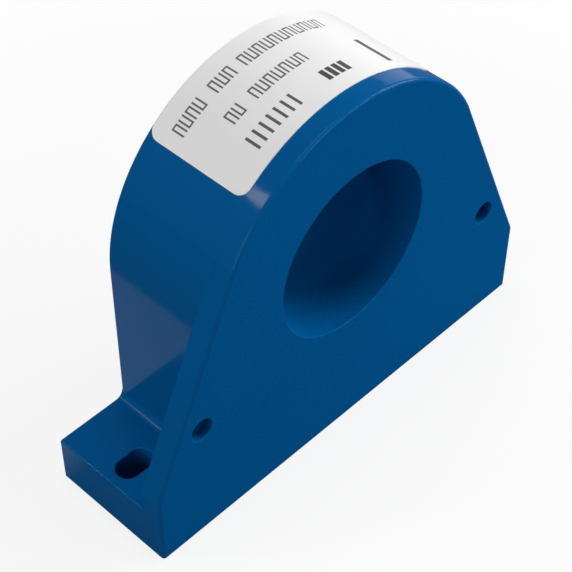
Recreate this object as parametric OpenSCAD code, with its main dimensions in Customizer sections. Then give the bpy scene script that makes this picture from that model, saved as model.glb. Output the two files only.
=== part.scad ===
// Ring-type Hall effect current sensor for base or panel mounting.
// X runs along the base, Y through the aperture from front to back, Z up.
// The origin is midway between the two base slots, on the mounting plane.

/* [Housing] */
// Diameter of the aperture that the primary conductor passes through
aperture_d = 31.6; // [28:0.2:40]
// Width of the round body's ring around the aperture
ring_w = 13.7; // [13:0.1:16]
// Depth of the housing from the front face to the back face
body_depth = 24; // [22:0.5:32]
// Height of the round body's lowest point above the mounting plane
ring_rise = 9.5; // [8.5:0.5:14]
// Thickness of the side walls and the floor
wall = 2; // [1.8:0.1:2.2]
// Thickness of the front wall ahead of the core
front_wall = 3; // [2.5:0.1:3.6]
// Thickness of the sleeve around the aperture
sleeve_wall = 2; // [1.8:0.1:2.4]
// Radius along the outer edge of the front face
edge_r = 0.6; // [0.4:0.1:1.6]
// Radius at both rims of the aperture
rim_r = 0.2; // [0.2:0.1:0.8]

/* [Mounting base] */
// Width of each foot beside the body
foot_w = 13.5; // [12.5:0.5:18]
// Height of each foot
foot_h = 9.3; // [8:0.1:11]
// Thickness of the top wall of a foot
foot_top = 2.5; // [2:0.1:3]
// Height of the vertical edge of the front plate
plate_edge_h = 14.4; // [13:0.1:17]
// Thickness of the front plate outside the round body
plate_t = 4; // [3.2:0.1:4.6]
// Radius between a side wall and the top of a foot
foot_r = 1.5; // [0.8:0.1:2.2]
// Width of a base slot
slot_w = 4.2; // [3.6:0.1:4.6]
// Width of the foot between the side wall and a slot
slot_inner = 4.8; // [4.2:0.1:5.2]
// Width of the foot outside a slot
slot_outer = 1.9; // [1.6:0.1:2.4]
// Wall around a base slot on the underside
slot_wall = 2; // [1.6:0.1:2.2]
// Distance from a side wall to the centre of the hole through the front plate
hole_from_wall = 4; // [3.6:0.1:4.6]
// Height of the holes through the front plate
hole_h = 24.3; // [23:0.1:26]
// Diameter of the holes through the front plate
hole_d = 4.2; // [3.4:0.1:4.4]

/* [Back cover] */
// Thickness of the back cover
cover_t = 2; // [1.6:0.1:2.2]
// Width of the housing's rim that shows around the back cover
cover_rim = 1; // [0.8:0.1:1.1]
// Wall left at the tip of the sleeve inside the back cover
sleeve_tip_wall = 1.2; // [1:0.1:1.4]
// Width of a snap hook
hook_w = 6; // [5:0.5:7]
// Length of a snap hook from the inside of the cover
hook_l = 6; // [5:0.5:6.5]
// Thickness of a snap hook's arm
hook_t = 1.2; // [1:0.1:1.4]
// How far a snap hook's nose reaches into the side wall
hook_nose = 0.6; // [0.4:0.1:0.8]
// Length of a snap hook's nose
hook_nose_l = 1.6; // [1.2:0.1:2]
// Height of the lower pair of snap hooks
hook_low_z = 17; // [16:0.5:18]
// Height of the upper pair of snap hooks below the aperture's centre
hook_high_drop = 2; // [0:0.5:3]

/* [Type label] */
// Angle that the label covers around the round top
label_angle = 86; // [70:1:90]
// Bare strip between the front face and the label
label_front = 3.7; // [3:0.1:5]
// Bare strip between the label and the back face
label_back = 0.6; // [0.4:0.1:1.5]
// Thickness of the label
label_t = 0.15; // [0.1:0.05:0.2]
// Radius of the label's corners
label_corner_r = 2; // [1:0.1:2.5]

/* [Magnetic core] */
// Space between the core and the outer wall
core_clear = 2.2; // [1.9:0.1:2.6]
// Width of the air gap that holds the Hall cell
air_gap = 3; // [2.6:0.1:3.4]
// Height of the centring ribs on the sleeve
rib_h = 0.7; // [0.5:0.1:0.9]
// Width of the centring ribs
rib_w = 1.6; // [1.2:0.1:2]
// Height of the pads that hold the core off the front wall
pad_h = 1; // [0.8:0.1:1.2]
// Thickness of the foam ring behind the core
cushion_t = 2; // [1.6:0.1:2.2]

/* [Circuit board] */
// Thickness of the circuit board
board_t = 1.6; // [1.4:0.1:1.7]
// Space between the circuit board and the back cover
board_back_gap = 1.2; // [1.1:0.1:1.4]
// Space between the foam ring and the board for the parts on it
part_room = 2.2; // [2:0.1:2.8]
// Distance from the aperture's centre down to the top edge of the board
board_drop = 9; // [8:0.5:10.5]
// Outer radius of a screw boss
boss_r = 2.5; // [2.2:0.1:2.8]
// Diameter of the board screws
screw_d = 2; // [1.8:0.1:2.2]
// Length of the board screws under the head
screw_l = 7; // [5:0.5:9]
// Height of the board screws' heads
screw_head_h = 0.9; // [0.7:0.1:1]

/* [Connector] */
// Distance between neighbouring pins
pin_pitch = 2.5; // [2.4:0.05:2.6]
// Side of a square pin
pin_w = 0.64; // [0.5:0.01:0.7]
// How far the pins reach past the back of the circuit board
pin_reach = 11; // [10:0.5:12]
// Height of the connector's centreline above the mounting plane
header_z = 7.6; // [7.4:0.1:8.2]
// Height of the header's base across the pin row
header_h = 5.8; // [5.4:0.1:6]
// How far the friction lock reaches past the back of the circuit board
lock_reach = 9; // [8:0.5:9.5]

/* [Hidden] */
$fn = 96;

// Clearance between a loose piece and its seat
fit = 0.1;
// How far a cutting shape runs past the face it cuts
past = 1;
// Extra radius of a rounding cut, so that it ends in an edge and not in a bare touch
bite = 0.01;

// Space kept between the board, the hooks and the floor
board_gap = 0.4;
// Space between the board's notch and the sleeve
notch_gap = 1;
// How far the flanks of the front plate run in below the round top
flank_sink = 0.05;

// Outer sizes that follow from the aperture
body_w = aperture_d + 2 * ring_w;
base_w = body_w + 2 * foot_w;
aperture_h = ring_rise + body_w / 2;
slot_l = foot_w - slot_inner - slot_outer;
slot_x = base_w / 2 - slot_outer - slot_l / 2;
hole_x = body_w / 2 + hole_from_wall;

// Depth positions, from front to back
y_front = -body_depth / 2;
y_back = body_depth / 2;
y_plate = y_front + plate_t;
y_cavity = y_front + front_wall;
y_cover = y_back - cover_t;
y_board_back = y_cover - board_back_gap;
y_board = y_board_back - board_t;
y_cushion = y_board - part_room;
y_core_back = y_cushion - cushion_t;
y_core = y_cavity + pad_h;
core_l = y_core_back - y_core;

// Radii about the aperture's axis
body_r = body_w / 2;
aperture_r = aperture_d / 2;
sleeve_r = aperture_r + sleeve_wall;
sleeve_tip_r = aperture_r + sleeve_tip_wall;
cavity_x = body_r - wall;
core_in_r = sleeve_r + rib_h + fit;
core_out_r = cavity_x - core_clear;
core_w = core_out_r - core_in_r;
core_mid_r = (core_in_r + core_out_r) / 2;

// The straight flank of the front plate runs into the round top at this angle,
// a hair below the true tangent so that the two surfaces meet in an edge
flank_r = body_r - flank_sink;
flank_dx = base_w / 2;
flank_dz = aperture_h - plate_edge_h;
flank_reach = norm([flank_dx, flank_dz]);
flank_turn = acos(flank_r / flank_reach);
touch_angle = flank_turn - atan2(flank_dz, flank_dx);

// Angles at which ribs and pads carry the core, clear of the air gap at the bottom
core_rest_angles = [30, 90, 150, 210, 330];
// Angles of the three posts that press the foam ring
post_angles = [20, 90, 160];
post_r = 1.8;
// How much narrower the pads and the foam ring are than the core
pad_inset = 1;
cushion_inset = 0.8;

// The circuit board and its two screws
board_x = cavity_x - fit - hook_t - board_gap;
board_z0 = wall + board_gap;
board_top = aperture_h - board_drop;
notch_r = sleeve_r + notch_gap;
boss_x = board_x - boss_r - board_gap;
boss_z = board_z0 + boss_r + board_gap;
ledge_h = 2;
ledge_grip = 1.2;
ledge_z = board_top - ledge_h - 2 * board_gap;
pilot_r = screw_d / 2 + fit / 2;

// The Hall cell stands in the air gap, its leads in a row along Z
holder_inset = 0.3;
cell_edge = 1.2;
cell_w = core_w - 2 * cell_edge;
cell_l = 3;
cell_t = air_gap / 2;
cell_z = aperture_h - core_mid_r;
cell_y = y_core + core_l / 2 - cell_l / 2;
lead_w = 0.4;
cell_pitch = (cell_w - lead_w - fit) / 3;
lead_tail = 0.6;
holder_flange_t = 1;
holder_flange_x = air_gap;
cushion_cut_x = holder_flange_x + 5 * fit;

// The four-way header
pin_count = 4;
header_w = pin_count * pin_pitch;
window_gap = 0.2;
lock_t = 1.3;
lock_slit = 0.6;
catch_l = 2.4;
catch_ramp = 1.8;
catch_h = 0.5;
pin_tail = 1.5;

// Small parts on the front of the board: [x, z] of each centre
bridge_at = [-12.5, 8.4];
output_at = [12.5, 8.4];
chip_body = [4.9, 1.45, 3.9];
chip_stand = 0.1;
chip_pitch = 1.27;
chip_lead_t = 0.2;
chip_foot_l = 0.7;
chip_foot_out = 0.35;
chip_lead_rise = 0.85;
tab_lead_t = 0.4;
tab_w = 1.8;
tab_l = 0.6;
tab_lead_l = 0.8;
tab_pitch = 1.5;
dimple_r = 0.4;
dimple_d = 0.1;
dimple_at = [0.9, 1];
regulator_at = [[-20.4, 14.6], [20.4, 14.6]];
regulator_body = [4.5, 1.5, 2.5];
tantalum_at = [[-6.6, 13.2], [6.6, 13.2]];
tantalum_body = [3.5, 1.6, 2.8];
diode_at = [[-7.6, 4.6], [7.6, 4.6]];
diode_body = [2.6, 1.1, 1.6];
resistor_at = [
    [-17.4, 5.2], [-17.4, 7.6], [-17.4, 10], [17.4, 5.2], [17.4, 7.6], [17.4, 10],
    [-12.5, 13.6], [12.5, 13.6], [-22.6, 20.4], [22.6, 20.4]
];
capacitor_at = [[-12.5, 4], [12.5, 4], [-3.4, 12.6], [3.4, 12.6], [-22.6, 23.4], [22.6, 23.4]];
chip_0805 = [2, 0.6, 1.25];

// Colours
blue = [0.0, 0.30, 0.56];
label_white = [0.90, 0.90, 0.89];
steel = [0.55, 0.56, 0.58];
foam = [0.16, 0.16, 0.17];
board_green = [0.05, 0.33, 0.20];
epoxy_black = [0.08, 0.08, 0.09];
tin = [0.80, 0.80, 0.78];
ivory = [0.90, 0.88, 0.80];
tantalum_yellow = [0.83, 0.62, 0.20];
ceramic_tan = [0.66, 0.52, 0.38];

// Extrudes an outline drawn in X and Z from y0 to y1
module along_y(y0, y1) {
    translate([0, y1, 0]) rotate([90, 0, 0]) linear_extrude(y1 - y0) children();
}

// Turns a ring profile drawn in radius and depth about the aperture's axis
module about_aperture(from_angle = 0, sweep = 360) {
    translate([0, 0, aperture_h]) rotate([90, 0, 0]) rotate([0, 0, from_angle])
        rotate_extrude(angle = sweep) children();
}

// Places a child at an angle about the aperture's axis, with its X axis pointing outward
module at_angle(a) {
    translate([0, 0, aperture_h]) rotate([0, -a, 0]) children();
}

module both_sides() {
    children();
    mirror([1, 0, 0]) children();
}

// Outline of the round-topped body, drawn inside its outer faces by an inset
module body_outline(inset) {
    translate([0, aperture_h]) circle(r = body_r - inset);
    translate([-body_r + inset, inset]) square([body_w - 2 * inset, aperture_h - inset]);
}

// Corner left over between two faces and the round of radius r that joins them
module corner_profile(r) {
    difference() {
        translate([-r, -past]) square([r + past, r + past]);
        translate([-r, r]) circle(r = r + bite);
    }
}

// Slab as thick as the front plate, whose edge along Z is rounded at the front
module rounded_slab() {
    reach = 2 * base_w;
    translate([0, 0, -reach / 2]) linear_extrude(reach) difference() {
        translate([-reach, 0]) square([reach, plate_t]);
        corner_profile(edge_r);
    }
}

// Bounds of the front plate on the right: its upright edge, and the flank up to the round top
module plate_side() {
    intersection() {
        translate([base_w / 2, y_front, 0]) rounded_slab();
        translate([base_w / 2, y_front, plate_edge_h]) rotate([0, -touch_angle, 0]) rounded_slab();
    }
}

// Front plate: a round disc about the aperture, and flanks that run out to the feet
module front_plate() {
    touch = [flank_r * cos(touch_angle), aperture_h + flank_r * sin(touch_angle)];
    intersection() {
        along_y(y_front - past, y_plate + past)
            polygon([[-base_w, 0], [base_w, 0], [base_w, touch[1]], [-base_w, touch[1]]]);
        plate_side();
        mirror([1, 0, 0]) plate_side();
    }
    about_aperture() difference() {
        translate([0, -y_plate]) square([body_r, plate_t]);
        translate([body_r, -y_front]) mirror([0, 1]) corner_profile(edge_r);
    }
}

// Rounds one rim of the aperture
module aperture_rim_cut(side) {
    about_aperture() mirror([0, side < 0 ? 0 : 1])
        difference() {
            translate([aperture_r - past, body_depth / 2 - rim_r]) square([past + rim_r, rim_r + past]);
            translate([aperture_r + rim_r, body_depth / 2 - rim_r]) circle(r = rim_r + bite);
        }
}

module slot_outline(width, length) {
    straight = length - width;
    square([straight, width], center = true);
    for (side = [-1, 1]) translate([side * straight / 2, 0]) circle(d = width);
}

// Hollow under a foot, left around the slot's boss
module foot_pocket() {
    pocket_x0 = body_r;
    pocket_x1 = base_w / 2 - wall;
    pocket_y1 = y_back - wall;
    difference() {
        translate([pocket_x0, y_plate, -past])
            cube([pocket_x1 - pocket_x0, pocket_y1 - y_plate, foot_h - foot_top + past]);
        translate([slot_x, 0, -2 * past])
            linear_extrude(foot_h + 2 * past) slot_outline(slot_w + 2 * slot_wall, slot_l + 2 * slot_wall);
        translate([pocket_x0 - past, -wall / 2, -2 * past])
            cube([slot_x - pocket_x0, wall, foot_h + 2 * past]);
    }
}

// Foot with its slot, its fillet to the side wall and its hollow underside
module foot() {
    difference() {
        union() {
            translate([body_r - wall / 2, y_front + plate_t / 2, 0])
                cube([base_w / 2 - body_r + wall / 2, body_depth - plate_t / 2, foot_h]);
            translate([body_r, y_back, foot_h]) rotate([90, 0, 0])
                linear_extrude(body_depth - plate_t) difference() {
                    square([foot_r, foot_r]);
                    translate([foot_r, foot_r]) circle(r = foot_r);
                }
        }
        foot_pocket();
        translate([slot_x, 0, -past])
            linear_extrude(foot_h + 2 * past) slot_outline(slot_w, slot_l);
    }
}

// Recess in a side wall that a snap hook's nose clicks into
module hook_recess(z) {
    translate([cavity_x - past, y_cover - hook_l - fit, z - hook_w / 2 - fit])
        cube([past + hook_nose + fit, hook_nose_l + 2 * fit, hook_w + 2 * fit]);
}

// Ribs and pads that carry the core, and the bosses and ledges that carry the board
module housing_supports() {
    for (a = core_rest_angles) at_angle(a) {
        translate([sleeve_r - wall / 2, y_cavity - wall / 2, -rib_w / 2])
            cube([wall / 2 + rib_h, y_core_back - y_cavity + wall / 2, rib_w]);
        translate([core_in_r, y_cavity - wall / 2, -rib_w / 2])
            cube([core_w - pad_inset, pad_h + wall / 2, rib_w]);
    }
    both_sides() {
        translate([boss_x, y_board, boss_z]) rotate([90, 0, 0])
            cylinder(r = boss_r, h = y_board - y_cavity + wall / 2);
        translate([boss_x, y_cavity - wall / 2, boss_z - wall / 4])
            cube([cavity_x - boss_x + wall / 2, y_board - y_cavity + wall / 2 - 1, wall / 2]);
        translate([board_x - ledge_grip, y_cavity - wall / 2, ledge_z])
            cube([cavity_x - board_x + ledge_grip + wall / 2, y_board - y_cavity + wall / 2, ledge_h]);
    }
}

// One moulding: front plate, round body, sleeve and feet, open at the back
module housing() color(blue) {
    difference() {
        union() {
            difference() {
                union() {
                    front_plate();
                    along_y(y_plate, y_back) body_outline(0);
                    both_sides() foot();
                }
                along_y(y_cavity, y_back + past) difference() {
                    body_outline(wall);
                    translate([0, aperture_h]) circle(r = sleeve_r);
                }
                along_y(y_cover, y_back + past) difference() {
                    body_outline(cover_rim);
                    translate([0, aperture_h]) circle(r = sleeve_tip_r);
                }
            }
            housing_supports();
        }
        along_y(y_front - past, y_back + past) translate([0, aperture_h]) circle(r = aperture_r);
        aperture_rim_cut(-1);
        aperture_rim_cut(1);
        both_sides() {
            along_y(y_front - past, y_plate + past)
                translate([hole_x, hole_h]) circle(d = hole_d);
            hook_recess(hook_low_z);
            hook_recess(aperture_h - hook_high_drop);
            translate([boss_x, y_board + past, boss_z]) rotate([90, 0, 0])
                cylinder(r = pilot_r, h = screw_l + past);
        }
    }
}

// Snap hook on the inside of the back cover, against a side wall
module snap_hook(z) {
    translate([cavity_x - fit - hook_t, y_cover - hook_l, z - hook_w / 2])
        cube([hook_t, hook_l + cover_t / 2, hook_w]);
    translate([0, 0, z - hook_w / 2]) linear_extrude(hook_w) polygon([
        [cavity_x - fit - hook_t / 2, y_cover - hook_l],
        [cavity_x - fit, y_cover - hook_l],
        [cavity_x - fit + hook_nose, y_cover - hook_l + 2 * hook_nose_l / 3],
        [cavity_x - fit + hook_nose, y_cover - hook_l + hook_nose_l],
        [cavity_x - fit - hook_t / 2, y_cover - hook_l + hook_nose_l]
    ]);
}

// Cover that closes the back, with its hooks and the posts that press the foam ring
module back_cover() color(blue) {
    difference() {
        along_y(y_cover, y_back) difference() {
            body_outline(cover_rim + fit);
            translate([0, aperture_h]) circle(r = sleeve_tip_r + fit);
        }
        along_y(y_cover - past, y_back + past) translate([0, header_z])
            square([header_w + 2 * window_gap, header_h + 2 * window_gap], center = true);
    }
    for (a = post_angles) at_angle(a) translate([core_mid_r, y_cover + cover_t / 2, 0])
        rotate([90, 0, 0]) cylinder(r = post_r, h = y_cover + cover_t / 2 - y_cushion);
    both_sides() {
        snap_hook(hook_low_z);
        snap_hook(aperture_h - hook_high_drop);
    }
}

// Cuts one corner of the label round, where its end and its front or back edge meet
module label_corner_cut(side, edge_y, edge_dir) {
    half = label_angle / 2;
    at_angle(90 + side * half) translate([body_r - past, edge_y, 0])
        rotate([0, 90, 0]) linear_extrude(2 * past + label_t)
            mirror([side < 0 ? 1 : 0, 0]) mirror([0, edge_dir < 0 ? 0 : 1]) difference() {
                translate([-past, -past]) square([label_corner_r + past, label_corner_r + past]);
                translate([label_corner_r, label_corner_r]) circle(r = label_corner_r);
            }
}

// Self-adhesive label, wrapped over the round top
module type_label() color(label_white) {
    y0 = y_front + label_front;
    y1 = y_back - label_back;
    difference() {
        about_aperture(90 - label_angle / 2, label_angle)
            translate([body_r, -y1]) square([label_t, y1 - y0]);
        for (side = [-1, 1]) {
            label_corner_cut(side, y0, -1);
            label_corner_cut(side, y1, 1);
        }
    }
}

// Tape-wound ring with one air gap at the bottom
module magnetic_core() color(steel) {
    difference() {
        about_aperture() translate([core_in_r, -y_core_back]) square([core_w, core_l]);
        translate([-air_gap / 2, y_core - past, aperture_h - core_out_r - past])
            cube([air_gap, core_l + 2 * past, core_w + 3 * past]);
    }
}

// Foam ring that the cover's posts press against the core
module core_cushion() color(foam) {
    difference() {
        about_aperture() translate([core_in_r + cushion_inset, -y_cushion])
            square([core_w - 2 * cushion_inset, cushion_t]);
        translate([-cushion_cut_x, y_core_back - past, aperture_h - core_out_r - past])
            cube([2 * cushion_cut_x, cushion_t + 2 * past, core_w + 3 * past]);
    }
}

// Moulded block that keeps the air gap open and holds the Hall cell in its slot
module hall_holder() color(ivory) {
    half_x = air_gap / 2 - fit / 2;
    z0 = cell_z - core_w / 2 + holder_inset;
    z1 = cell_z + core_w / 2 - holder_inset;
    difference() {
        union() {
            translate([-half_x, y_core, z0]) cube([2 * half_x, core_l, z1 - z0]);
            translate([-holder_flange_x, y_core_back, z0])
                cube([2 * holder_flange_x, holder_flange_t, z1 - z0]);
        }
        translate([-cell_t / 2 - fit / 2, cell_y, cell_z - cell_w / 2 - fit / 2])
            cube([cell_t + fit, core_l, cell_w + fit]);
    }
}

module hall_cell() color(epoxy_black)
    translate([-cell_t / 2, cell_y, cell_z - cell_w / 2]) cube([cell_t, cell_l, cell_w]);

// Height of one of the Hall cell's four leads
function lead_z(i) = cell_z + (i - 1.5) * cell_pitch;

module hall_leads() color(tin)
    for (i = [0:3])
        translate([-lead_w / 2, cell_y + cell_l, lead_z(i) - lead_w / 2])
            cube([lead_w, y_board_back + lead_tail - cell_y - cell_l, lead_w]);

// Saddle-shaped board that stands behind the core
module circuit_board() color(board_green)
    along_y(y_board, y_board_back) difference() {
        translate([-board_x, board_z0]) square([2 * board_x, board_top - board_z0]);
        translate([0, aperture_h]) circle(r = notch_r);
        for (side = [-1, 1]) translate([side * boss_x, boss_z]) circle(r = pilot_r);
        for (i = [0:3]) translate([0, lead_z(i)]) square(lead_w + fit, center = true);
        for (i = [0:pin_count - 1])
            translate([(i - (pin_count - 1) / 2) * pin_pitch, header_z])
                square(pin_w + fit, center = true);
    }

// Self-tapping pan-head screws with a cross recess
module board_screws() color(steel) both_sides()
    translate([boss_x, y_board_back, boss_z]) difference() {
        rotate([90, 0, 0]) {
            cylinder(d = screw_d, h = screw_l);
            translate([0, 0, -screw_head_h]) cylinder(d = 2 * screw_d, h = screw_head_h);
        }
        for (turn = [0, 90]) translate([0, screw_head_h, 0]) rotate([0, turn, 0])
            cube([1.3 * screw_d, screw_head_h, 0.25 * screw_d], center = true);
    }

// Box that sits on the front of the board at a place given in X and Z
module on_board(at, size, stand = 0)
    translate([at[0] - size[0] / 2, y_board - stand - size[1], at[1] - size[2] / 2]) cube(size);

module amplifier(at) color(epoxy_black) difference() {
    on_board(at, chip_body, chip_stand);
    dimple_x = at[0] - chip_body[0] / 2 + dimple_at[0];
    translate([dimple_x, y_board - chip_stand - chip_body[1] + dimple_d, at[1] - dimple_at[1]])
        rotate([90, 0, 0]) cylinder(r = dimple_r, h = past);
}

module bridge_amplifier() amplifier(bridge_at);

module output_amplifier() amplifier(output_at);

// Gull-wing leads of both amplifiers
module amplifier_leads() color(tin)
    for (at = [bridge_at, output_at], side = [-1, 1], i = [0:3])
        translate([at[0] + (i - 1.5) * chip_pitch - lead_w / 2, y_board, at[1]])
            mirror([0, 0, side < 0 ? 1 : 0]) translate([0, 0, chip_body[2] / 2]) {
                translate([0, -chip_lead_t, chip_foot_out]) cube([lead_w, chip_lead_t, chip_foot_l]);
                translate([0, -chip_lead_rise, chip_foot_out]) cube([lead_w, chip_lead_rise, chip_lead_t]);
                translate([0, -chip_lead_rise, 0]) cube([lead_w, chip_lead_t, chip_foot_out + chip_lead_t]);
            }

module supply_regulators() color(epoxy_black)
    for (at = regulator_at) on_board(at, regulator_body);

// Three leads and the wide tab of each regulator
module regulator_leads() color(tin)
    for (at = regulator_at) {
        translate([at[0], y_board - tab_lead_t, at[1] - regulator_body[2] / 2 - tab_lead_l])
            for (i = [-1:1]) translate([i * tab_pitch - lead_w / 2, 0, 0])
                cube([lead_w, tab_lead_t, tab_lead_l]);
        translate([at[0] - tab_w / 2, y_board - tab_lead_t, at[1] + regulator_body[2] / 2])
            cube([tab_w, tab_lead_t, tab_l]);
    }

module tantalum_capacitors() color(tantalum_yellow)
    for (at = tantalum_at) on_board(at, tantalum_body);

module protection_diodes() color(epoxy_black)
    for (at = diode_at) on_board(at, diode_body);

module chip_resistors() color(epoxy_black)
    for (at = resistor_at) on_board(at, chip_0805);

module chip_capacitors() color(ceramic_tan)
    for (at = capacitor_at) on_board(at, chip_0805);

// Four-way header with a friction lock along its upper side
module connector_header() color(ivory) {
    difference() {
        translate([-header_w / 2, y_board_back, header_z - header_h / 2])
            cube([header_w, y_back - y_board_back, header_h]);
        for (i = [0:pin_count - 1])
            translate([(i - (pin_count - 1) / 2) * pin_pitch, 0, header_z])
                cube([pin_w, 2 * body_depth, pin_w], center = true);
    }
    difference() {
        translate([-header_w / 2, y_back - cover_t / 2, header_z + header_h / 2 - lock_t])
            cube([header_w, y_board_back + lock_reach - y_back + cover_t / 2, lock_t]);
        for (side = [-1, 1])
            translate([side * header_w / 4 - lock_slit / 2, y_back, header_z])
                cube([lock_slit, lock_reach, header_h]);
    }
    catch_y = y_board_back + lock_reach - catch_l;
    catch_z = header_z + header_h / 2 - lock_t;
    translate([-header_w / 4 + lock_slit / 2, 0, 0]) rotate([90, 0, 90])
        linear_extrude(header_w / 2 - lock_slit) polygon([
            [catch_y, catch_z + fit], [catch_y, catch_z - catch_h], [catch_y + catch_ramp, catch_z + fit]
        ]);
}

module connector_pins() color(tin)
    for (i = [0:pin_count - 1])
        translate([(i - (pin_count - 1) / 2) * pin_pitch - pin_w / 2, y_board - pin_tail, header_z - pin_w / 2])
            cube([pin_w, y_board_back + pin_reach - y_board + pin_tail, pin_w]);

housing();
back_cover();
type_label();
magnetic_core();
core_cushion();
hall_holder();
hall_cell();
hall_leads();
circuit_board();
board_screws();
bridge_amplifier();
output_amplifier();
amplifier_leads();
supply_regulators();
regulator_leads();
tantalum_capacitors();
protection_diodes();
chip_resistors();
chip_capacitors();
connector_header();
connector_pins();
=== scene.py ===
"""Ring-type Hall effect current sensor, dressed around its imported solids.

Lengths below are in millimetres until they reach a mesh. X runs along the base, Y from the
front face to the back, Z up from the mounting plane.
"""
import math

import bmesh
import bpy
from mathutils import Matrix, Vector


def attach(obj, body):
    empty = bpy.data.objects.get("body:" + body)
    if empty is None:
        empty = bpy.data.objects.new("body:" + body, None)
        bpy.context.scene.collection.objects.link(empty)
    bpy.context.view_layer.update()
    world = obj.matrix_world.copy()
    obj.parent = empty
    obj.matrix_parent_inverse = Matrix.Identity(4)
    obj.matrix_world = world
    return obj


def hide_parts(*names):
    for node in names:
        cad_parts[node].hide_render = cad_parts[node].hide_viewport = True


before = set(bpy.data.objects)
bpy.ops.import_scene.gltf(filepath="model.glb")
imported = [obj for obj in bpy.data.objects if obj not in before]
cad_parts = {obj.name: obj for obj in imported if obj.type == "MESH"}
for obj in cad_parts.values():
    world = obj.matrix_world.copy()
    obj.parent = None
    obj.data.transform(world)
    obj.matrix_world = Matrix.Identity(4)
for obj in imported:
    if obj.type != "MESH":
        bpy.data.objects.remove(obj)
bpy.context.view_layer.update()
MM = 0.001

# Housing. One moulding in glossy blue plastic, open at the back: front plate, round body,
# sleeve around the aperture and two feet. Moulded in one shot; the parting line is at its back rim.
BODY_R, BASE_W, DEPTH = 29.5, 86.0, 24.0
APERTURE_H, APERTURE_R, RIM_R = 39.0, 15.8, 0.2
Y_FRONT, Y_BACK, Y_PLATE, Y_CAVITY, Y_COVER = -12.0, 12.0, -8.0, -9.0, 10.0
EDGE_R, PLATE_EDGE_H, FOOT_H, FOOT_R = 0.6, 14.4, 9.3, 1.5
FLANK_SINK = 0.05
SLOT_X, SLOT_W, SLOT_L = 37.7, 4.2, 6.8
HOLE_X, HOLE_H, HOLE_R = 33.5, 24.3, 2.1
WALL, SLOT_WALL, FOOT_TOP = 2.0, 2.0, 2.5
SLEEVE_R, SLEEVE_TIP_R, COVER_RIM = 17.8, 17.0, 1.0
ARC_STEPS, RIM_STEPS, ROUND_STEPS = 120, 160, 8


def make_piece(name, bm):
    """Turns a working mesh into an object in metres."""
    mesh = bpy.data.meshes.new(name)
    bmesh.ops.recalc_face_normals(bm, faces=bm.faces)
    bm.to_mesh(mesh)
    bm.free()
    piece = bpy.data.objects.new(name, mesh)
    bpy.context.scene.collection.objects.link(piece)
    return piece


def loft(name, rings):
    """Closed skin through rings of points, with a flat face on both ends."""
    bm = bmesh.new()
    rows = [[bm.verts.new(Vector(p) * MM) for p in ring] for ring in rings]
    count = len(rows[0])
    for low, high in zip(rows, rows[1:]):
        for i in range(count):
            j = (i + 1) % count
            bm.faces.new((low[i], low[j], high[j], high[i]))
    bm.faces.new(rows[0])
    bm.faces.new(rows[-1])
    return make_piece(name, bm)


def along_y(outline, y):
    return [(x, y, z) for x, z in outline]


def along_z(outline, z):
    return [(x, y, z) for x, y in outline]


def arc(cx, cz, r, start, end, steps):
    turns = [math.radians(start + (end - start) * i / steps) for i in range(steps + 1)]
    return [(cx + r * math.cos(t), cz + r * math.sin(t)) for t in turns]


def spin(name, profile, steps, cz=APERTURE_H):
    """Closed ring turned about an axis along Y from a closed profile of (radius, y)."""
    bm = bmesh.new()
    rows = []
    for i in range(steps):
        t = 2 * math.pi * i / steps
        rows.append([bm.verts.new(Vector((r * math.cos(t), y, cz + r * math.sin(t))) * MM) for r, y in profile])
    for i in range(steps):
        near, far = rows[i], rows[(i + 1) % steps]
        for k in range(len(profile)):
            m = (k + 1) % len(profile)
            bm.faces.new((near[k], near[m], far[m], far[k]))
    return make_piece(name, bm)


def combine(base, other, operation):
    """Adds other to base or cuts it away, and removes other."""
    step = base.modifiers.new("step", "BOOLEAN")
    step.operation, step.solver, step.object = operation, "EXACT", other
    bpy.context.view_layer.update()
    settled = base.evaluated_get(bpy.context.evaluated_depsgraph_get())
    mesh = bpy.data.meshes.new_from_object(settled)
    base.modifiers.clear()
    old, base.data = base.data, mesh
    bpy.data.meshes.remove(old)
    spent = other.data
    bpy.data.objects.remove(other)
    bpy.data.meshes.remove(spent)
    return base


def plate_outline(inset):
    """Front plate seen along Y: upright edges, straight flanks and the round top."""
    half, r = BASE_W / 2 - inset, BODY_R - inset
    flank_r = BODY_R - FLANK_SINK
    dz = APERTURE_H - PLATE_EDGE_H
    turn = math.acos(flank_r / math.hypot(BASE_W / 2, dz)) - math.atan2(dz, BASE_W / 2)
    nx, nz = math.cos(turn), math.sin(turn)
    reach = flank_r - inset
    kink_z = APERTURE_H + (reach - half * nx) / nz
    slip = math.degrees(math.acos(reach / r))
    top = arc(0, APERTURE_H, r, math.degrees(turn) + slip, 180 - math.degrees(turn) - slip, ARC_STEPS)
    return [(-half, 0), (half, 0), (half, kink_z), *top, (-half, kink_z)]


def body_outline(inset):
    r = BODY_R - inset
    return [(-r, inset), (r, inset), *arc(0, APERTURE_H, r, 0, 180, ARC_STEPS)]


def rounding(radius, steps=ROUND_STEPS):
    """Pairs of inset and depth along a quarter round, from the face to the wall."""
    quarter = [math.pi / 2 * k / steps for k in range(steps + 1)]
    return [(radius * (1 - math.sin(t)), radius * (1 - math.cos(t))) for t in quarter]


def mirrored(outline):
    return [(-x, z) for x, z in reversed(outline)]


rings = [along_y(plate_outline(i), Y_FRONT + d) for i, d in rounding(EDGE_R)]
housing = loft("housing_moulding", rings + [along_y(plate_outline(0), Y_PLATE)])
BACK_EDGE_R = 0.3
rings = [along_y(body_outline(0), Y_PLATE - 0.5)]
rings += [along_y(body_outline(i), Y_BACK - d) for i, d in reversed(rounding(BACK_EDGE_R, 3))]
combine(housing, loft("body", rings), "UNION")


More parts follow.
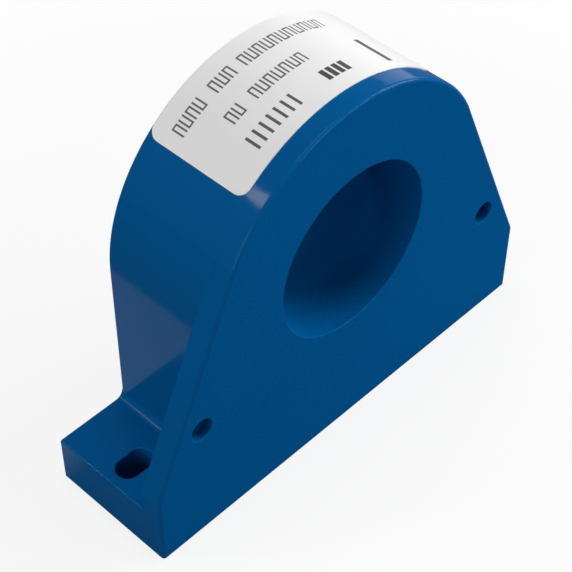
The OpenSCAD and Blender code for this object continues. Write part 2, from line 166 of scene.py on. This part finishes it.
def foot_outline(soft=0.35):
    """Foot seen along Y, with the fillet up to the side wall and a softened outer edge."""
    half = BASE_W / 2
    corner = arc(half - soft, FOOT_H - soft, soft, 0, 90, 4)
    fillet = arc(BODY_R + FOOT_R, FOOT_H + FOOT_R, FOOT_R, 270, 180, 8)
    return [(BODY_R - 1, 0), (half, 0), *corner, *fillet, (BODY_R - 1, FOOT_H + FOOT_R)]


for outline in (foot_outline(), mirrored(foot_outline())):
    combine(housing, loft("foot", [along_y(outline, Y_PLATE - 0.5), along_y(outline, Y_BACK)]), "UNION")


def slot_outline(cx, width, length, steps=16):
    straight = (length - width) / 2
    return [*arc(cx + straight, 0, width / 2, -90, 90, steps), *arc(cx - straight, 0, width / 2, 90, 270, steps)]


def slot_cutter(side, lip=0.25):
    rings = [along_z(slot_outline(side * SLOT_X, SLOT_W + 2 * lip, SLOT_L + 2 * lip), FOOT_H + 1)]
    for inset, depth in rounding(lip, 3):
        rings.append(along_z(slot_outline(side * SLOT_X, SLOT_W + 2 * inset, SLOT_L + 2 * inset), FOOT_H - depth))
    rings.append(along_z(slot_outline(side * SLOT_X, SLOT_W, SLOT_L), -1))
    return loft("slot", rings)


def through_cutter(cx, cz, r, lip, y0, y1, steps):
    """Round cutter along Y with a quarter round at each mouth."""
    ring = [(r + lip, y0 - 1)] + [(r + i, y0 + d) for i, d in rounding(lip, 4)]
    ring += [(r + i, y1 - d) for i, d in reversed(rounding(lip, 4))] + [(r + lip, y1 + 1)]
    return loft("hole", [along_y(arc(cx, cz, radius, 0, 360 - 360 / steps, steps - 1), y) for radius, y in ring])


for side in (-1, 1):
    pocket = [(BODY_R, Y_PLATE), (BASE_W / 2 - WALL, Y_PLATE), (BASE_W / 2 - WALL, Y_BACK - WALL), (BODY_R, Y_BACK - WALL)]
    if side < 0:
        pocket = mirrored(pocket)
    hollow = loft("pocket", [along_z(pocket, -1), along_z(pocket, FOOT_H - FOOT_TOP)])
    around = slot_outline(side * SLOT_X, SLOT_W + 2 * SLOT_WALL, SLOT_L + 2 * SLOT_WALL)
    combine(hollow, loft("slot_boss", [along_z(around, -2), along_z(around, FOOT_H)]), "DIFFERENCE")
    x0, x1 = sorted((side * (BODY_R - 1), side * SLOT_X))
    web = [(x0, -WALL / 2), (x1, -WALL / 2), (x1, WALL / 2), (x0, WALL / 2)]
    combine(hollow, loft("slot_web", [along_z(web, -2), along_z(web, FOOT_H)]), "DIFFERENCE")
    combine(housing, hollow, "DIFFERENCE")
    combine(housing, slot_cutter(side), "DIFFERENCE")
    combine(housing, through_cutter(side * HOLE_X, HOLE_H, HOLE_R, 0.2, Y_FRONT, Y_PLATE, 48), "DIFFERENCE")
cavity = loft("cavity", [along_y(body_outline(WALL), Y_CAVITY), along_y(body_outline(WALL), Y_BACK + 1)])
sleeve = [(0.1, Y_CAVITY - 1), (SLEEVE_R, Y_CAVITY - 1), (SLEEVE_R, Y_BACK + 2), (0.1, Y_BACK + 2)]
combine(cavity, spin("sleeve", sleeve, RIM_STEPS), "DIFFERENCE")
combine(housing, cavity, "DIFFERENCE")
rebate = loft("rebate", [along_y(body_outline(COVER_RIM), Y_COVER), along_y(body_outline(COVER_RIM), Y_BACK + 1)])
tip = [(0.1, Y_COVER - 1), (SLEEVE_TIP_R, Y_COVER - 1), (SLEEVE_TIP_R, Y_BACK + 2), (0.1, Y_BACK + 2)]
combine(rebate, spin("sleeve_tip", tip, RIM_STEPS), "DIFFERENCE")
combine(housing, rebate, "DIFFERENCE")

RIB_W, RIB_H, Y_CORE_BACK, PAD_FROM, PAD_L, PAD_H = 1.6, 0.7, 3.0, 18.6, 5.7, 1.0
BOSS_X, BOSS_Z, BOSS_R, PILOT_R, SCREW_L = 22.9, 5.3, 2.5, 1.05, 7.0
WEB_T, LEDGE_FROM, LEDGE_Z, LEDGE_H, Y_BOARD = 1.0, 24.6, 27.2, 2.0, 7.2
HOOK_W, HOOK_L, HOOK_T, HOOK_NOSE, HOOK_NOSE_L, HOOK_AT = 6.0, 6.0, 1.2, 0.6, 1.6, (17.0, APERTURE_H - 2.0)
COVER_GAP = 0.1


def box_outline(x0, x1, z0, z1):
    return [(x0, z0), (x1, z0), (x1, z1), (x0, z1)]


def core_rest(degrees, r0, r1, y1):
    """Rib or pad that stands on the cavity floor and points at the aperture's axis."""
    turn = math.radians(degrees)
    c, s = math.cos(turn), math.sin(turn)
    outline = [(r * c - w * s, APERTURE_H + r * s + w * c) for r, w in box_outline(r0, r1, -RIB_W / 2, RIB_W / 2)]
    return loft("core_rest", [along_y(outline, Y_CAVITY - WALL / 2), along_y(outline, y1)])


for degrees in (30, 90, 150, 210, 330):
    combine(housing, core_rest(degrees, SLEEVE_R - WALL / 2, SLEEVE_R + RIB_H, Y_CORE_BACK), "UNION")
    combine(housing, core_rest(degrees, PAD_FROM, PAD_FROM + PAD_L, Y_CAVITY + PAD_H), "UNION")
wall_x, recess_y = BODY_R - WALL, Y_COVER - HOOK_L - COVER_GAP
boss = arc(BOSS_X, BOSS_Z, BOSS_R, 0, 350, 35)
web = box_outline(BOSS_X, wall_x + WALL / 2, BOSS_Z - WEB_T / 2, BOSS_Z + WEB_T / 2)
ledge = box_outline(LEDGE_FROM, wall_x + WALL / 2, LEDGE_Z, LEDGE_Z + LEDGE_H)
pilot = arc(BOSS_X, BOSS_Z, PILOT_R, 0, 345, 23)
for outline, y0, y1, operation in (
    (boss, Y_CAVITY - WALL / 2, Y_BOARD, "UNION"),
    (web, Y_CAVITY - WALL / 2, Y_BOARD - 1, "UNION"),
    (ledge, Y_CAVITY - WALL / 2, Y_BOARD, "UNION"),
    (pilot, Y_BOARD - SCREW_L, Y_BOARD + 1, "DIFFERENCE"),
    *((box_outline(wall_x - 1, wall_x + HOOK_NOSE + COVER_GAP, z - HOOK_W / 2 - COVER_GAP, z + HOOK_W / 2 + COVER_GAP),
       recess_y, recess_y + HOOK_NOSE_L + 2 * COVER_GAP, "DIFFERENCE") for z in HOOK_AT),
):
    for shape in (outline, mirrored(outline)):
        combine(housing, loft("support", [along_y(shape, y0), along_y(shape, y1)]), operation)
combine(housing, through_cutter(0, APERTURE_H, APERTURE_R, RIM_R, Y_FRONT, Y_BACK, RIM_STEPS), "DIFFERENCE")


def finish_shading(piece, sharp=35.0):
    """Smooth shading up to the given angle, with the flat faces kept flat."""
    bm = bmesh.new()
    bm.from_mesh(piece.data)
    bmesh.ops.remove_doubles(bm, verts=bm.verts, dist=0.002 * MM)
    for face in bm.faces:
        face.smooth = True
    for edge in bm.edges:
        if len(edge.link_faces) == 2:
            edge.smooth = edge.calc_face_angle(0) < math.radians(sharp)
    bm.to_mesh(piece.data)
    bm.free()
    weighted = piece.modifiers.new("flat_faces", "WEIGHTED_NORMAL")
    weighted.keep_sharp = True
    weighted.weight = 80
    return piece


finish_shading(housing)
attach(housing, "root")
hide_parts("housing")


class Wire:
    """A socket of a shader tree that takes part in arithmetic."""

    def __init__(self, tree, socket):
        self.tree, self.socket = tree, socket

    def math(self, operation, *others):
        node = self.tree.nodes.new("ShaderNodeMath")
        node.operation = operation
        for slot, value in zip(node.inputs, (self, *others)):
            if isinstance(value, Wire):
                self.tree.links.new(value.socket, slot)
            else:
                slot.default_value = value
        return Wire(self.tree, node.outputs[0])

    def __add__(self, other):
        return self.math("ADD", other)

    __radd__ = __add__

    def __sub__(self, other):
        return self.math("SUBTRACT", other)

    def __rsub__(self, other):
        return self.math("MULTIPLY_ADD", -1.0, other)

    def __mul__(self, other):
        return self.math("MULTIPLY", other)

    __rmul__ = __mul__

    def __truediv__(self, other):
        return self.math("DIVIDE", other)

    def __lt__(self, other):
        return self.math("LESS_THAN", other)

    def __gt__(self, other):
        return self.math("GREATER_THAN", other)

    def __abs__(self):
        return self.math("ABSOLUTE")


class Finish:
    """A material with its main shader, and nodes added to it one call at a time."""

    def __init__(self, name, **steady):
        self.material = bpy.data.materials.new(name)
        self.material.use_nodes = True
        self.tree = self.material.node_tree
        self.shader = self.tree.nodes["Principled BSDF"]
        for socket, value in steady.items():
            self.shader.inputs[socket.replace("_", " ")].default_value = value

    def node(self, kind, settings=None, inputs=None, output=0):
        """Adds a node: its settings first, then the values or links of its sockets."""
        node = self.tree.nodes.new(kind)
        for key, value in (settings or {}).items():
            if key == "stops":
                ramp = node.color_ramp.elements
                while len(ramp) < len(value):
                    ramp.new(1.0)
                for stop, (place, colour) in zip(ramp, value):
                    stop.position, stop.color = place, colour
            else:
                setattr(node, key, value)
        for key, value in (inputs or {}).items():
            if isinstance(value, Wire):
                self.tree.links.new(value.socket, node.inputs[key])
            else:
                node.inputs[key].default_value = value
        return Wire(self.tree, node.outputs[output])

    def place(self):
        """Position on the piece in millimetres, as three numbers."""
        at = self.node("ShaderNodeTexCoord", output="Object")
        self.at = self.node("ShaderNodeVectorMath", {"operation": "SCALE"}, {0: at, "Scale": 1 / MM})
        parts = self.node("ShaderNodeSeparateXYZ", None, {0: self.at}).socket.node.outputs
        return [Wire(self.tree, parts[i]) for i in range(3)]

    def noise(self, scale, detail=2.0, rough=0.5, stretch=None):
        where = self.at
        if stretch:
            where = self.node("ShaderNodeVectorMath", {"operation": "MULTIPLY"}, {0: self.at, 1: stretch})
        return self.node("ShaderNodeTexNoise", None, {"Vector": where, "Scale": scale, "Detail": detail, "Roughness": rough})

    def blend(self, mask, low, high):
        """Colour that goes from low to high as the mask goes from 0 to 1."""
        def full(c):
            return c if isinstance(c, Wire) else (*c, 1.0)
        mix = self.tree.nodes.new("ShaderNodeMix")
        mix.data_type = "RGBA"
        for slot, value in ((0, mask), (6, full(low)), (7, full(high))):
            if isinstance(value, Wire):
                self.tree.links.new(value.socket, mix.inputs[slot])
            else:
                mix.inputs[slot].default_value = value
        return Wire(self.tree, mix.outputs[2])

    def bump(self, height, distance, strength=1.0):
        return self.node("ShaderNodeBump", None, {"Height": height, "Distance": distance, "Strength": strength}, "Normal")

    def feed(self, **wires):
        for socket, wire in wires.items():
            self.tree.links.new(wire.socket, self.shader.inputs[socket.replace("_", " ")])

    def dress(self, *pieces):
        for piece in pieces:
            piece.data.materials.clear()
            piece.data.materials.append(self.material)


def blue_plastic(name, gloss, polish, uneven, grain, ripple):
    """Dense blue plastic, coloured through, with its own surface for each side of the mould."""
    blue = Finish(name, Specular_IOR_Level=gloss)
    blue.place()
    drift = blue.noise(0.035, 3)
    tone = blue.blend(drift, (0.0002, 0.094, 0.292), (0.0006, 0.106, 0.326))
    height = blue.noise(2.6, 3) * grain + blue.noise(0.25, 2) * ripple
    blue.feed(Base_Color=tone, Roughness=polish + uneven * blue.noise(0.9, 4, 0.6), Normal=blue.bump(height, MM))
    return blue


# The mould is polished for the sides and spark-textured for the front face, the aperture and
# the two round holes.
housing_finish = blue_plastic("polished_blue", 0.05, 0.08, 0.07, 0.0, 0.016)
textured = blue_plastic("textured_blue", 0.004, 0.5, 0.1, 0.07, 0.0)
housing_finish.dress(housing)
housing.data.materials.append(textured.material)
for face in housing.data.polygons:
    spot = face.center / MM
    in_front = face.normal.y < -0.99 and spot.y < Y_FRONT + 0.01
    in_bore = math.hypot(spot.x, spot.z - APERTURE_H) < APERTURE_R + 0.05
    in_hole = math.hypot(abs(spot.x) - HOLE_X, spot.z - HOLE_H) < HOLE_R + 0.3
    if in_front or in_bore or in_hole:
        face.material_index = 1

# Magnetic core. A ring wound from thin silicon steel strip and cut through once for the air gap;
# it sits on the ribs of the sleeve, and a foam ring behind it takes up the play.
AXIS_Z = APERTURE_H


def steel_strip():
    steel = Finish("silicon_steel_strip", Metallic=1.0)
    x, y, z = steel.place()
    radius = (x * x + (z - AXIS_Z) * (z - AXIS_Z)).math("SQRT")
    layers = (radius * 18.0).math("SINE")
    stain = steel.noise(0.2, 4)
    steel.feed(
        Base_Color=steel.blend(stain, (0.22, 0.22, 0.24), (0.36, 0.35, 0.34)),
        Roughness=0.3 + 0.25 * stain,
        Normal=steel.bump(layers * 0.01, MM),
    )
    return steel


steel_strip().dress(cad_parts["magnetic_core"])


def speckled(name, low, high, scale, rough, grain=0.01, **steady):
    """Plain material with two close tones, uneven gloss and a fine surface grain."""
    plain = Finish(name, **steady)
    plain.place()
    tone = plain.noise(scale, 3)
    fine = plain.noise(scale * 9, 2)
    plain.feed(
        Base_Color=plain.blend(tone, low, high),
        Roughness=rough + 0.15 * tone,
        Normal=plain.bump(fine * grain, MM),
    )
    return plain


speckled("cut_foam", (0.010, 0.010, 0.011), (0.035, 0.035, 0.037), 1.2, 0.8, 0.12).dress(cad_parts["core_cushion"])

# Hall cell. It stands in the air gap in the slot of a moulded holder, and its four tinned leads
# run back through the board.
ivory = speckled("ivory_plastic", (0.66, 0.62, 0.50), (0.74, 0.71, 0.60), 0.3, 0.35, 0.004)
black_epoxy = speckled("black_epoxy", (0.006, 0.006, 0.007), (0.014, 0.014, 0.015), 0.8, 0.45, 0.006)
tinned = speckled("tinned_copper", (0.52, 0.52, 0.50), (0.66, 0.66, 0.63), 1.5, 0.25, 0.003, Metallic=1.0)
ivory.dress(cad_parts["hall_holder"])
black_epoxy.dress(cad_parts["hall_cell"])
tinned.dress(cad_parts["hall_leads"])

# Circuit board. Green solder mask over copper on glass laminate, held by two plated screws, with
# its small parts soldered to the front.


def solder_mask():
    mask = Finish("solder_mask", Coat_Roughness=0.1)
    x, y, z = mask.place()
    weave = (x * 9.0).math("SINE") * (z * 9.0).math("SINE")
    tracks = abs(mask.noise(0.35, 0) - 0.5) < 0.035
    tone = mask.blend(tracks, (0.006, 0.085, 0.035), (0.018, 0.16, 0.07))
    mask.feed(Base_Color=tone, Roughness=0.3 + 0.1 * mask.noise(0.6), Normal=mask.bump(weave * 0.004 + tracks * 0.02, MM))
    return mask


solder_mask().dress(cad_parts["circuit_board"])
plated = speckled("zinc_plate", (0.42, 0.42, 0.40), (0.55, 0.55, 0.54), 0.9, 0.22, 0.003, Metallic=1.0)
plated.dress(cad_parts["board_screws"])
for name in ("bridge_amplifier", "output_amplifier", "supply_regulators", "protection_diodes", "chip_resistors"):
    black_epoxy.dress(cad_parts[name])
for name in ("amplifier_leads", "regulator_leads"):
    tinned.dress(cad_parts[name])
speckled("tantalum_case", (0.52, 0.27, 0.03), (0.62, 0.36, 0.05), 0.6, 0.4).dress(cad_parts["tantalum_capacitors"])
speckled("fired_ceramic", (0.30, 0.19, 0.10), (0.42, 0.28, 0.16), 0.9, 0.35).dress(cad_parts["chip_capacitors"])

# Back cover. A flat plate in the housing's plastic that drops into the rebate, with four snap
# hooks on its inside and three posts that press the foam ring.
HEADER_W, HEADER_H, HEADER_Z = 10.0, 5.8, 7.6
WINDOW_GAP, COVER_LIP = 0.2, 0.2
cover_in = COVER_RIM + COVER_GAP
rings = [along_y(body_outline(cover_in), Y_COVER)]
rings += [along_y(body_outline(cover_in + i), Y_BACK - d) for i, d in reversed(rounding(COVER_LIP, 3))]
cover = loft("cover_plate", rings)
combine(cover, through_cutter(0, APERTURE_H, SLEEVE_TIP_R + COVER_GAP, COVER_LIP, Y_COVER - 5, Y_BACK, RIM_STEPS), "DIFFERENCE")
half_w, half_h = HEADER_W / 2 + WINDOW_GAP, HEADER_H / 2 + WINDOW_GAP
window = box_outline(-half_w, half_w, HEADER_Z - half_h, HEADER_Z + half_h)
combine(cover, loft("window", [along_y(window, Y_COVER - 1), along_y(window, Y_BACK + 1)]), "DIFFERENCE")
CORE_MID_R, POST_R, POST_L = 21.95, 1.8, 5.0
for degrees in (20, 90, 160):
    cx, cz = CORE_MID_R * math.cos(math.radians(degrees)), APERTURE_H + CORE_MID_R * math.sin(math.radians(degrees))
    ring = arc(cx, cz, POST_R, 0, 345, 23)
    combine(cover, loft("post", [along_y(ring, Y_COVER - POST_L), along_y(ring, Y_COVER + 0.5)]), "UNION")
hook_x, hook_y = BODY_R - WALL - COVER_GAP, Y_COVER - HOOK_L
hook = [
    (hook_x - HOOK_T, hook_y), (hook_x, hook_y), (hook_x + HOOK_NOSE, hook_y + 2 * HOOK_NOSE_L / 3),
    (hook_x + HOOK_NOSE, hook_y + HOOK_NOSE_L), (hook_x, hook_y + HOOK_NOSE_L), (hook_x, Y_COVER + 0.5),
    (hook_x - HOOK_T, Y_COVER + 0.5),
]
for outline in (hook, mirrored(hook)):
    for mid_z in HOOK_AT:
        combine(cover, loft("hook", [along_z(outline, mid_z - HOOK_W / 2), along_z(outline, mid_z + HOOK_W / 2)]), "UNION")
finish_shading(cover)
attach(cover, "root")
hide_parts("back_cover")
housing_finish.dress(cover)

# Connector. A four-way header in ivory plastic with a slit friction lock along its upper side,
# and four square tinned pins with pointed ends.
Y_BOARD_BACK = 8.8
PITCH, PIN_W, PIN_REACH, PIN_TAIL = 2.5, 0.64, 11.0, 1.5
LOCK_T, LOCK_REACH, LOCK_SLIT, SOFT = 1.3, 9.0, 0.6, 0.15
CATCH_L, CATCH_H, CATCH_RAMP = 2.4, 0.5, 1.8


def softened_box(name, x0, x1, y0, y1, z0, z1, soft=SOFT):
    """Box whose far end along Y has softened edges."""
    rings = [along_y(box_outline(x0, x1, z0, z1), y0)]
    for inset, depth in reversed(rounding(soft, 3)):
        rings.append(along_y(box_outline(x0 + inset, x1 - inset, z0 + inset, z1 - inset), y1 - depth))
    return loft(name, rings)


header_x, header_top = HEADER_W / 2, HEADER_Z + HEADER_H / 2
header = softened_box("pin_header", -header_x, header_x, Y_BOARD_BACK, Y_BACK, HEADER_Z - HEADER_H / 2, header_top)
tongue_ends = ((-header_x, -HEADER_W / 4 - LOCK_SLIT / 2), (-HEADER_W / 4 + LOCK_SLIT / 2, HEADER_W / 4 - LOCK_SLIT / 2),
               (HEADER_W / 4 + LOCK_SLIT / 2, header_x))
for x0, x1 in tongue_ends:
    tongue = softened_box("tongue", x0, x1, Y_BACK - 1, Y_BOARD_BACK + LOCK_REACH, header_top - LOCK_T, header_top - 0.001)
    combine(header, tongue, "UNION")
catch_y, catch_z = Y_BOARD_BACK + LOCK_REACH - CATCH_L, header_top - LOCK_T
wedge = [(catch_y, catch_z + 0.1), (catch_y, catch_z - CATCH_H), (catch_y + CATCH_RAMP, catch_z + 0.1)]
rows = [[(x, y, z) for y, z in wedge] for x in tongue_ends[1]]
combine(header, loft("catch", rows), "UNION")
finish_shading(header)
pin_pieces = []
for i in range(4):
    x = (i - 1.5) * PITCH
    hole = box_outline(x - PIN_W / 2, x + PIN_W / 2, HEADER_Z - PIN_W / 2, HEADER_Z + PIN_W / 2)
    combine(header, loft("pin_hole", [along_y(hole, Y_BOARD), along_y(hole, Y_BACK + 1)]), "DIFFERENCE")
    rings = []
    for y, shrink in ((Y_BOARD - PIN_TAIL, 0.5), (Y_BOARD - PIN_TAIL + 0.4, 1), (Y_BOARD_BACK + PIN_REACH - 0.7, 1),
                      (Y_BOARD_BACK + PIN_REACH, 0.45)):
        half = PIN_W / 2 * shrink
        rings.append(along_y(box_outline(x - half, x + half, HEADER_Z - half, HEADER_Z + half), y))
    pin_pieces.append(finish_shading(loft(f"pin_{i + 1}", rings)))
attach(header, "root")
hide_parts("connector_header")
ivory.dress(header)
for pin in pin_pieces:
    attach(pin, "root")
    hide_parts("connector_pins")
tinned.dress(*pin_pieces)

# Type label. White polyester film with rounded corners, wrapped over the round top by hand; its
# print is reduced to rows of plain grey hoops and bars.
LABEL_FROM, LABEL_TO, LABEL_T, LABEL_CORNER = 133.0, 47.0, 0.15, 2.0
LABEL_FRONT, LABEL_BACK = Y_FRONT + 3.7, Y_BACK - 0.3
ARC_MM = math.radians(1) * BODY_R


def label_film():
    length = (LABEL_FROM - LABEL_TO) * ARC_MM
    corners = [
        *arc(length - LABEL_CORNER, LABEL_FRONT + LABEL_CORNER, LABEL_CORNER, -90, 0, 10),
        *arc(length - LABEL_CORNER, LABEL_BACK - LABEL_CORNER, LABEL_CORNER, 0, 90, 10),
        *arc(LABEL_CORNER, LABEL_BACK - LABEL_CORNER, LABEL_CORNER, 90, 180, 10),
        *arc(LABEL_CORNER, LABEL_FRONT + LABEL_CORNER, LABEL_CORNER, 180, 270, 10),
    ]
    bm = bmesh.new()
    sheet = bm.faces.new([bm.verts.new((u, y, 0)) for u, y in corners])
    for cut in range(1, int(LABEL_FROM - LABEL_TO)):
        everything = [*bm.verts, *bm.edges, *bm.faces]
        bmesh.ops.bisect_plane(bm, geom=everything, plane_co=(cut * ARC_MM, 0, 0), plane_no=(1, 0, 0), dist=1e-5)
    lower = list(bm.faces)
    made = bmesh.ops.extrude_face_region(bm, geom=lower, use_keep_orig=True)
    for item in made["geom"]:
        if isinstance(item, bmesh.types.BMVert):
            item.co.z = LABEL_T
    for vert in bm.verts:
        u, y, up = vert.co
        t = math.radians(LABEL_FROM) - u / BODY_R
        r = BODY_R + up
        vert.co = Vector((r * math.cos(t), y, APERTURE_H + r * math.sin(t))) * MM
    return make_piece("label_film", bm)


label = finish_shading(label_film())
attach(label, "root")
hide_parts("type_label")


def printed_film():
    film = Finish("printed_film", Specular_IOR_Level=0.25)
    x, y, z = film.place()
    angle = (z - AXIS_Z).math("ARCTAN2", x)
    u = (math.radians(LABEL_FROM) - angle) * BODY_R
    v = y - Y_FRONT

    def within(value, low, high):
        return (value > low) * (value < high)

    def row(start, count, low, high, pitch, share=0.72):
        """Distance along a row that starts at an angle, and a mask of its blocks."""
        along = (u - (LABEL_FROM - start) * ARC_MM) / pitch
        return along, within(along, 0.0, count) * within(v, low, high) * (along.math("FRACT") < share)

    def meander(start, count, low, high, pitch=1.6, stroke=0.3, share=0.76):
        """A row of upright hoops, open at the foot and at the head in turn, as heavy as letters."""
        along, blocks = row(start, count, low, high, pitch, share)
        into = along.math("FRACT") * pitch
        turned = (along * 0.5).math("FRACT") > 0.5
        inside = within(into, stroke, share * pitch - stroke) * (v > low + stroke * turned)
        return blocks * (1 - inside * (v < high - stroke * (1 - turned)))

    def bars(start, count, low, high, pitch, share):
        return row(start, count, low, high, pitch, share)[1]

    first = meander(128, 4, 18.0, 20.5) + meander(112, 3, 18.0, 20.5) + meander(100, 11, 18.0, 20.5)
    second = meander(117, 2, 12.2, 14.6) + meander(107, 7, 12.2, 14.6)
    third = bars(119, 7, 6.3, 9.3, 1.5, 0.32)
    marks = bars(89, 4, 6.7, 9.2, 1.3, 0.72) + bars(65, 1, 5.9, 13.1, 1.1, 0.99)
    ink = (first + second + third).math("MINIMUM", 1.0)
    haze = film.noise(0.12, 3)
    paper = film.blend(haze, (0.87, 0.87, 0.865), (0.92, 0.92, 0.915))
    grey = film.blend(ink, paper, (0.115, 0.115, 0.125))
    colour = film.blend(marks, grey, (0.07, 0.07, 0.075))
    wave = film.noise(0.09, 1)
    film.feed(Base_Color=colour, Roughness=0.36 + 0.12 * haze, Normal=film.bump(wave * 0.06, MM))
    return film


printed_film().dress(label)

# Camera: above and to the left of the front face, looking down at 45 degrees through a long lens.
view = bpy.data.cameras.new("view")
view.sensor_width = 36.0
view.lens = 1625.739 / 572 * 36.0
view.clip_start, view.clip_end = 0.01, 20.0
camera = bpy.data.objects.new("view", view)
forward = Vector((0.49961518, 0.48157885, -0.72004616)).normalized()
right = Vector((0.69699314, -0.71706645, 0.00403352)).normalized()
right = (right - forward * right.dot(forward)).normalized()
upward = right.cross(forward)
turn = Matrix((right, upward, -forward)).transposed().to_4x4()
camera.matrix_world = Matrix.Translation(Vector((-136.4716, -128.7639, 216.9814)) * MM) @ turn
bpy.context.scene.collection.objects.link(camera)
bpy.context.scene.camera = camera

# Studio: soft lamps, and a floor that the camera sees as plain white with a faint shadow. In reflections
# the floor shows a painted lit patch behind the part, and painted shadow in dark grey everywhere else.
bm = bmesh.new()
bmesh.ops.create_grid(bm, x_segments=2, y_segments=2, size=3.0)
floor = make_piece("floor", bm)
floor.location.z = -0.0002
ground = Finish("pale_floor", Roughness=0.9, Specular_IOR_Level=0.0)
x, y, z = ground.place()


def ramp(value, start, width):
    """Rise from 0 to 1 over a width."""
    return ground.node("ShaderNodeClamp", None, {"Value": (value - start) / width})


# Painted lit patch: the rectangle of floor that reflections show pale; outside it they see painted shadow.
PAINTED_LIT_LEFT, PAINTED_LIT_RIGHT, PAINTED_LIT_FRONT, PAINTED_LIT_BACK, PAINTED_LIT_EDGE = -58.0, 70.0, 11.0, 110.0, 6.0
painted_lit_patch = ramp(x, PAINTED_LIT_LEFT, PAINTED_LIT_EDGE) * ramp(y, PAINTED_LIT_FRONT, PAINTED_LIT_EDGE)
painted_lit_patch = painted_lit_patch * (1 - ramp(x, PAINTED_LIT_RIGHT, PAINTED_LIT_EDGE)) * (1 - ramp(y, PAINTED_LIT_BACK, PAINTED_LIT_EDGE))
SHADOW_REACH, SHADOW_FADE, UNSHADED = 75.0, 70.0, 0.82
far = ramp((x * x + y * y).math("SQRT"), SHADOW_REACH, SHADOW_FADE)
rays = ground.node("ShaderNodeLightPath").socket.node.outputs
camera_ray, glossy_ray, clear_ray = (
    Wire(ground.tree, rays[f"Is {kind} Ray"]) for kind in ("Camera", "Glossy", "Transmission")
)
seen = camera_ray * (UNSHADED + (1 - UNSHADED) * far)
# Glossy and transmission rays also see the painted lit patch glow faintly, a painted reflection.
seen = seen.math("MAXIMUM", glossy_ray.math("MAXIMUM", clear_ray) * painted_lit_patch * 0.2)
# Base colour: pale where the camera looks or inside the painted lit patch, painted shadow in dark grey elsewhere.
painted_light_mask = camera_ray.math("MAXIMUM", painted_lit_patch)
ground.feed(Base_Color=ground.blend(painted_light_mask, (0.14, 0.14, 0.14), (0.86, 0.86, 0.86)))
glow = ground.node("ShaderNodeEmission", None, {"Color": (1, 1, 1, 1), "Strength": 1.0})
mixed = ground.node("ShaderNodeMixShader", None, {0: seen, 1: Wire(ground.tree, ground.shader.outputs[0]), 2: glow})
ground.tree.links.new(mixed.socket, ground.tree.nodes["Material Output"].inputs["Surface"])
ground.dress(floor)

# Each lamp: azimuth from the base's right end, height in degrees, distance, width, power.
LAMPS = {
    "overhead": (90, 86, 0.9, 0.5, 2.6),
    "low_right": (-26, 24, 0.6, 0.35, 2.7),
    "low_front": (-65, 12, 0.9, 0.5, 2.4),
    "behind_right": (28, 6, 0.9, 0.45, 1.15),
    "left": (185, 18, 0.9, 0.5, 2.5),
    "behind_left": (141, 40, 0.9, 0.1, 0.85),
}
MIDDLE = Vector((0.0, 0.0, 0.035))
for name, (azimuth, height, distance, size, watts) in LAMPS.items():
    level, rise = math.radians(azimuth), math.radians(height)
    flat = math.cos(rise)
    spot = MIDDLE + distance * Vector((flat * math.cos(level), flat * math.sin(level), math.sin(rise)))
    lamp = bpy.data.lights.new(name, "AREA")
    lamp.shape, lamp.size, lamp.energy = "SQUARE", size, watts
    holder = bpy.data.objects.new(name, lamp)
    holder.location = spot
    aim = MIDDLE - spot
    holder.rotation_euler = aim.to_track_quat("-Z", "Y").to_euler()
    bpy.context.scene.collection.objects.link(holder)

# The world lights the part weakly from all round; the camera sees it as plain white, and metal
# shows a little of that white.
world = bpy.data.worlds.new("studio")
world.use_nodes = True
WORLD_LEVEL, WORLD_IN_GLOSS = 0.12, 0.25
sky = world.node_tree
rays = sky.nodes.new("ShaderNodeLightPath").outputs
camera_ray, glossy_ray, clear_ray = (Wire(sky, rays[f"Is {kind} Ray"]) for kind in ("Camera", "Glossy", "Transmission"))
shown = camera_ray.math("MAXIMUM", glossy_ray.math("MAXIMUM", clear_ray) * WORLD_IN_GLOSS)
sky.nodes["Background"].inputs["Color"].default_value = (1, 1, 1, 1)
sky.links.new(shown.math("MAXIMUM", WORLD_LEVEL).socket, sky.nodes["Background"].inputs["Strength"])
bpy.context.scene.world = world
bpy.context.scene.view_settings.view_transform = "Standard"
